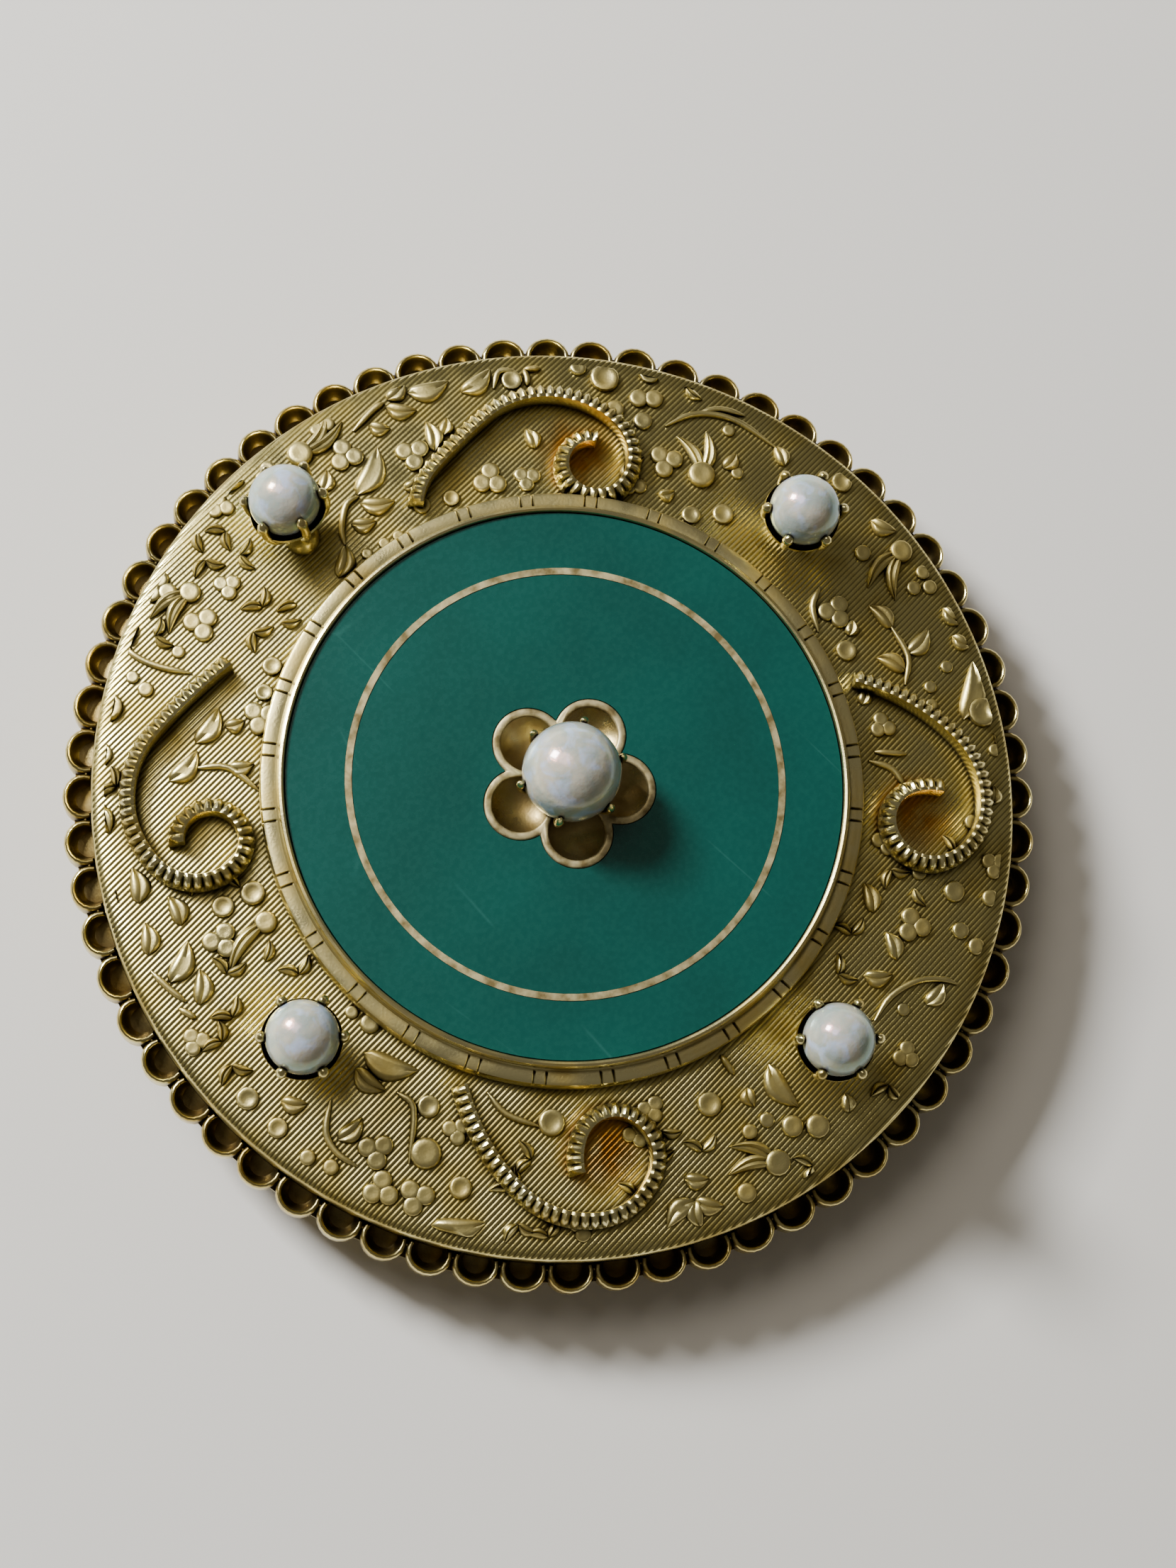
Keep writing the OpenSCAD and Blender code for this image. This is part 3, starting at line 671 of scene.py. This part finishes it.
# ---------------------------------------------------------------- pearl settings
# Each pearl is gripped by six gilt claws with rounded tips. The middle one stands on a low collar, and the
# four outer ones on waisted coronets riveted through the front plate. The top coronet leans outwards.
CLAWS = 6


def bar(path, radii, sides=10):
    """Points and faces of a closed round bar along a path."""
    points = []
    side = (path[1] - path[0]).orthogonal().normalized()
    last = len(path) - 1
    for i, here in enumerate(path):
        ahead = (path[min(i + 1, last)] - path[max(i - 1, 0)]).normalized()
        side = (side - ahead * side.dot(ahead)).normalized()
        up = ahead.cross(side)
        for k in range(sides):
            a = math.tau * k / sides
            points.append(here + (side * math.cos(a) + up * math.sin(a)) * radii[i])
    return points, band(len(path), sides)


def claw_ring(name, pearl_r, pearl_z, foot, tip, thick, turn):
    """Six claws round a pearl on the Z axis, from one angle of elevation to another."""
    points, faces = [], []
    for index in range(CLAWS):
        a = math.radians(360 / CLAWS * index + turn)
        path = []
        radii = []
        for step in range(15):
            t = step / 14
            e = math.radians(foot + (tip - foot) * t)
            reach = pearl_r + thick * (0.62 - 0.3 * t)
            path.append(Vector((reach * math.cos(e) * math.cos(a), reach * math.cos(e) * math.sin(a),
                                pearl_z + reach * math.sin(e))))
            # Tapers, then swells to a ball at the tip and closes round
            radii.append(thick * (0.62 - 0.26 * t))
        for step, part in ((11, 0.46), (12, 0.58), (13, 0.5), (14, 0.16)):
            radii[step] = thick * part
        bar_points, bar_faces = bar(path, radii)
        first = len(points)
        points += bar_points
        faces += [tuple(first + k for k in face) for face in bar_faces]
    return mesh_object(name, points, [], faces)


# Painted shade: the tarnish colour over 1.1 mm darkens the coronets and claws under the pearls
setting_gilt = gilt_brass("worn_gilt_claws", "F4E9A8", "C4B066", "1C1206", 1.1, smoothness=1.2)
OUTER_R = 1.6
OUTER_RISE = 3.05
CENTRE_R = 2.2
CENTRE_Z = 9.0
coronet = spun("coronet", [(0.5, -0.3), (0.78, -0.3), (0.8, 0.05), (0.7, 0.2), (0.64, 0.5), (0.66, 0.8),
                           (0.86, 1.25), (1.2, 1.7), (1.56, 2.08), (1.76, 2.34), (1.73, 2.44), (1.62, 2.36),
                           (1.3, 2.0), (1.0, 1.6), (0.6, 1.2), (0.5, 0.9), (0.5, -0.3)], 36)
outer = joined("coronet_with_claws", [coronet, claw_ring("claws", OUTER_R, OUTER_RISE, -58, 17, 0.44, 15)])
finish(outer, setting_gilt, 50)

SEAT_Z = 5.7
LEAN = math.radians(-22)
outer_places = {
    "top": Matrix.Translation((0, 16.25 * MM, SEAT_Z * MM)) @ Matrix.Rotation(LEAN, 4, "X"),
    "right": Matrix.Translation((16.25 * MM, 0.9 * MM, SEAT_Z * MM)),
    "bottom": Matrix.Translation((-0.3 * MM, -16.25 * MM, SEAT_Z * MM)),
    "left": Matrix.Translation((-16.25 * MM, 0.2 * MM, SEAT_Z * MM)),
}
for side_name, place in outer_places.items():
    setting = placed_copy(outer, place, side_name + "_coronet")
    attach(setting, "brooch")
    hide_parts(side_name + "_setting")
remove(outer)

collar = spun("collar", [(0.9, 6.72), (1.42, 6.72), (1.45, 6.9), (1.36, 7.1), (1.3, 7.22), (1.1, 7.22),
                         (0.9, 7.0), (0.9, 6.72)], 40)
centre_setting = joined("centre_collar", [collar, claw_ring("claws", CENTRE_R, CENTRE_Z, -60, 13, 0.34, 30)])
finish(centre_setting, setting_gilt, 50)
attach(centre_setting, "brooch")
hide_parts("centre_setting")

# ---------------------------------------------------------------- pearls
# Five round pearls, a little uneven. The surface is satin nacre, grey-white, with a faint bluish lustre and
# a few dull patches.

# Nacre: thin clear layers over a pale body, so that highlights are soft and faintly tinted
nacre = bpy.data.materials.new("nacre_satin")
nacre.use_nodes = True
tree = nacre.node_tree
shader = tree.nodes["Principled BSDF"]
shader.inputs["IOR"].default_value = 1.68
shader.inputs["Coat IOR"].default_value = 1.68
shader.inputs["Thin Film Thickness"].default_value = 460
shader.inputs["Thin Film IOR"].default_value = 1.4
shader.inputs["Coat Weight"].default_value = 0.9
shader.inputs["Coat Roughness"].default_value = 0.13
shader.inputs["Subsurface Weight"].default_value = 0.15
shader.inputs["Subsurface Scale"].default_value = 0.4 * MM
where = add_node(tree, "ShaderNodeTexCoord").outputs["Object"]
# Body patches 1.2 mm across and growth ripples 0.5 mm across
patch = add_node(tree, "ShaderNodeTexNoise", {"Scale": 1 / (1.2 * MM), "Detail": 4}, {"Vector": where})
grain = add_node(tree, "ShaderNodeTexNoise", {"Scale": 1 / (0.5 * MM), "Detail": 4}, {"Vector": where})
tone = add_node(tree, "ShaderNodeMapRange", {"From Min": 0.38, "From Max": 0.62},
                {"Value": patch.outputs["Fac"]})
body = add_node(tree, "ShaderNodeMix", {6: linear("BBB5A2"), 7: linear("98A29A")},
                {0: tone.outputs["Result"]}, data_type="RGBA")
# Painted sheen: blue lustre painted into the body colour in soft spots 0.9 mm across
painted_lustre = add_node(tree, "ShaderNodeTexNoise", {"Scale": 1 / (0.9 * MM), "Detail": 2, "Distortion": 0.8},
                  {"Vector": where})
spots = add_node(tree, "ShaderNodeMapRange",
                 {"From Min": 0.5, "From Max": 0.68, "To Min": 0.0, "To Max": 0.6},
                 {"Value": painted_lustre.outputs["Fac"]})
body = add_node(tree, "ShaderNodeMix", {7: linear("B4C6E6")},
                {0: spots.outputs["Result"], 6: body.outputs[2]}, data_type="RGBA")
# Painted shade close to the claws, where they close in on the pearl
open_sky = add_node(tree, "ShaderNodeAmbientOcclusion", {"Distance": 0.5 * MM}, samples=8)
unshaded = add_node(tree, "ShaderNodeMapRange", {"From Min": 0.3, "From Max": 0.8},
                 {"Value": open_sky.outputs["AO"]})
occlusion_mix = add_node(tree, "ShaderNodeMix", {6: linear("4A4030")},
                 {0: unshaded.outputs["Result"], 7: body.outputs[2]}, data_type="RGBA")
tree.links.new(occlusion_mix.outputs[2], shader.inputs["Base Color"])
rough = add_node(tree, "ShaderNodeMapRange", {"To Min": 0.16, "To Max": 0.34},
                 {"Value": patch.outputs["Fac"]})
tree.links.new(rough.outputs["Result"], shader.inputs["Roughness"])
bump = add_node(tree, "ShaderNodeBump", {"Strength": 0.7, "Distance": 0.05 * MM},
                {"Height": grain.outputs["Fac"]})
tree.links.new(bump.outputs["Normal"], shader.inputs["Normal"])


def pearl(name, radius, place, node, seed):
    """One pearl on its seat, with slow swellings of about 1% of its radius."""
    deselect()
    bpy.ops.mesh.primitive_uv_sphere_add(segments=56, ring_count=32, radius=radius * MM)
    obj = bpy.context.object
    obj.name = name
    for vertex in obj.data.vertices:
        way = vertex.co.normalized()
        swell = math.sin(3 * way.x + seed) * math.cos(4 * way.y + 2 * seed) + math.sin(5 * way.z + seed)
        vertex.co *= 0.99 + 0.005 * swell
    obj.data.transform(place)
    bpy.ops.object.shade_smooth()
    obj.data.materials.append(nacre)
    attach(obj, "brooch")
    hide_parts(node)


for index, (side_name, place) in enumerate(outer_places.items()):
    pearl(side_name + "_nacre", OUTER_R, place @ Matrix.Translation((0, 0, OUTER_RISE * MM)),
          side_name + "_pearl", 1.3 * index)
pearl("centre_nacre", CENTRE_R, Matrix.Translation((0, 0, CENTRE_Z * MM)), "centre_pearl", 5.1)

# ---------------------------------------------------------------- scroll strips
# Four strips of gilt wire stand on edge and are soldered to the plate, two above and two below the centre.
# Each is milled across its top and outer side into small bars, and curls in at its end.
BAR_PITCH = 0.43
# Across the strip from its inner foot to its outer foot: place, height, and how deep the milling goes there
strip_section = [(-0.35, -0.25, 0, 0), (-0.35, 0.86, 0, 0), (-0.3, 1.02, 0, 0), (-0.16, 1.1, -0.01, -0.13),
                 (0.08, 1.08, -0.03, -0.27), (0.27, 0.96, -0.18, -0.22), (0.36, 0.74, -0.26, -0.08),
                 (0.37, 0.5, -0.2, 0), (0.35, 0.34, 0, 0), (0.35, -0.25, 0, 0)]


def arc_walk(start, heading, arcs, step):
    """Places and headings at equal steps along a run of arcs (radius, sweep) that turn left."""
    x, y = start
    stations = []
    carried = 0.0
    for radius, sweep in arcs:
        length = radius * math.radians(sweep)
        cx, cy = x - radius * math.sin(heading), y + radius * math.cos(heading)
        while carried <= length:
            a = heading + carried / radius
            stations.append((cx + radius * math.sin(a), cy - radius * math.cos(a), a))
            carried += step
        carried -= length
        heading += math.radians(sweep)
        x, y = cx + radius * math.sin(heading), cy - radius * math.cos(heading)
    return stations


def scroll(name, node, start, heading, arcs, mirrored):
    """One milled strip on the plate."""
    stations = arc_walk(start, math.radians(heading), arcs, BAR_PITCH / 4)
    points = []
    for i, (x, y, a) in enumerate(stations):
        milled = (1.0, 0.25, 0.0, 0.25)[i % 4]
        for across, height, dig_across, dig_down in strip_section:
            out = across + dig_across * milled
            px, py = x + out * math.sin(a), y - out * math.cos(a)
            points.append((-px if mirrored else px, py, dome_z(x, y) + height + dig_down * milled))
    obj = mesh_object(name, points, [], band(len(stations), len(strip_section)))
    finish(obj, scroll_gilt, 32)
    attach(obj, "brooch")
    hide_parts(node)


scroll_gilt = gilt_brass("worn_gilt_scrolls", "F7EDB0", "CDB96F", "1C1205", 0.6, smoothness=1.1)
upper_arcs = [(24, 11), (4.4, 86), (2.4, 85), (1.6, 90), (1.5, 90), (1.4, 60)]
upper_right_arcs = [(3.3, 33), (24, 8.6), (4.4, 88.4), (2.4, 85), (1.6, 90), (1.5, 90), (1.4, 60)]
lower_arcs = [(9.5, 32), (4.2, 50), (3, 66), (2, 90), (1.65, 85), (2.6, 40)]
scroll("upper_left_milled", "upper_left_scroll", (-6.5, 14.4), 174, upper_arcs, False)
scroll("upper_right_milled", "upper_right_scroll", (-4.62, 13.68), 141, upper_right_arcs, True)
scroll("lower_left_milled", "lower_left_scroll", (-12.8, -5.9), 238, lower_arcs, False)
scroll("lower_right_milled", "lower_right_scroll", (-12.95, -5.9), 238, lower_arcs, True)

# ---------------------------------------------------------------- back and locket compartment
# The back plate is plain gilt brass, with the compartment's cup let into it. A hinged gilt frame holds the
# glass over a disc of card. The brooch pin, the rivet and the hinge pins are drawn steel wire.
plain_gilt = gilt_brass("plain_gilt_back", "E6D89A", "BFA969", "3A2A12", 1.2, smoothness=1.1)

# Drawn steel wire: grey, with drawing lines about 0.05 mm apart along X, the way the brooch pin lies
steel = bpy.data.materials.new("drawn_steel_wire")
steel.use_nodes = True
tree = steel.node_tree
shader = tree.nodes["Principled BSDF"]
shader.inputs["Metallic"].default_value = 1.0
where = add_node(tree, "ShaderNodeTexCoord").outputs["Object"]
along = add_node(tree, "ShaderNodeMapping", {"Scale": (0.04, 1, 1)}, {"Vector": where})
drawn = add_node(tree, "ShaderNodeTexNoise", {"Scale": 1 / (0.05 * MM), "Detail": 2},
                 {"Vector": along.outputs["Vector"]})
tone = add_node(tree, "ShaderNodeMix", {6: linear("8E8A82"), 7: linear("B9B6AE")},
                {0: drawn.outputs["Fac"]}, data_type="RGBA")
tree.links.new(tone.outputs[2], shader.inputs["Base Color"])
rough = add_node(tree, "ShaderNodeMapRange", {"To Min": 0.25, "To Max": 0.42},
                 {"Value": drawn.outputs["Fac"]})
tree.links.new(rough.outputs["Result"], shader.inputs["Roughness"])
bump = add_node(tree, "ShaderNodeBump", {"Strength": 0.4, "Distance": 0.006 * MM},
                {"Height": drawn.outputs["Fac"]})
tree.links.new(bump.outputs["Normal"], shader.inputs["Normal"])

# Aged card: cream, matt, with fibres about 0.3 mm long and foxed spots
card = bpy.data.materials.new("aged_card")
card.use_nodes = True
tree = card.node_tree
shader = tree.nodes["Principled BSDF"]
shader.inputs["Roughness"].default_value = 0.92
where = add_node(tree, "ShaderNodeTexCoord").outputs["Object"]
fibre = add_node(tree, "ShaderNodeTexNoise", {"Scale": 1 / (0.3 * MM), "Detail": 6}, {"Vector": where})
fox = add_node(tree, "ShaderNodeTexNoise", {"Scale": 1 / (3 * MM), "Detail": 3}, {"Vector": where})
spots = add_node(tree, "ShaderNodeMapRange", {"From Min": 0.58, "From Max": 0.75},
                 {"Value": fox.outputs["Fac"]})
cream = add_node(tree, "ShaderNodeMix", {6: linear("D9CDAE"), 7: linear("E6DCC2")},
                 {0: fibre.outputs["Fac"]}, data_type="RGBA")
foxed = add_node(tree, "ShaderNodeMix", {7: linear("B08F5C")},
                 {0: spots.outputs["Result"], 6: cream.outputs[2]}, data_type="RGBA")
tree.links.new(foxed.outputs[2], shader.inputs["Base Color"])
bump = add_node(tree, "ShaderNodeBump", {"Strength": 0.6, "Distance": 0.02 * MM},
                {"Height": fibre.outputs["Fac"]})
tree.links.new(bump.outputs["Normal"], shader.inputs["Normal"])
give("keepsake_card", card)

# Polished crystal glass: clear, with faint rubbing that dulls it in places
glass = bpy.data.materials.new("polished_glass")
glass.use_nodes = True
tree = glass.node_tree
shader = tree.nodes["Principled BSDF"]
shader.inputs["Base Color"].default_value = linear("F4FAF8")
shader.inputs["Transmission Weight"].default_value = 1.0
shader.inputs["IOR"].default_value = 1.5
where = add_node(tree, "ShaderNodeTexCoord").outputs["Object"]
rub = add_node(tree, "ShaderNodeTexNoise", {"Scale": 1 / (2.5 * MM), "Detail": 5}, {"Vector": where})
rough = add_node(tree, "ShaderNodeMapRange",
                 {"From Min": 0.4, "From Max": 0.8, "To Min": 0.02, "To Max": 0.12},
                 {"Value": rub.outputs["Fac"]})
tree.links.new(rough.outputs["Result"], shader.inputs["Roughness"])

# Each fitting: node, body, slot, edge in mm, finish
fittings = [
    ("back_plate", "brooch", "gilt", 0.12, plain_gilt),
    ("locket_case", "brooch", "gilt", 0.1, plain_gilt),
    ("frame_knuckles", "brooch", "gilt", 0.08, plain_gilt),
    ("frame_hinge_pin", "brooch", "steel", 0.05, steel),
    ("glass_frame", "locket_frame", "gilt", 0.12, plain_gilt),
    ("crystal", "locket_frame", "crystal", 0.04, glass),
    ("crystal_retainer", "locket_frame", "gilt", 0.06, plain_gilt),
    ("pin_bracket", "brooch", "gilt", 0.08, plain_gilt),
    ("pin_rivet", "brooch", "steel", 0.05, steel),
    ("pin_stem", "brooch_pin", "steel", 0.04, steel),
    ("pin_catch", "brooch", "gilt", 0.08, plain_gilt),
    ("bail_knuckles", "brooch", "gilt", 0.08, plain_gilt),
    ("bail_pin", "brooch", "steel", 0.05, steel),
    ("bail", "bail", "gilt", 0.16, plain_gilt),
]
for node, body_name, slot_name, edge, finish_material in fittings:
    fitting = softened(node, edge, finish_material, node + "_polished")
    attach(fitting, body_name)
    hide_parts(node)
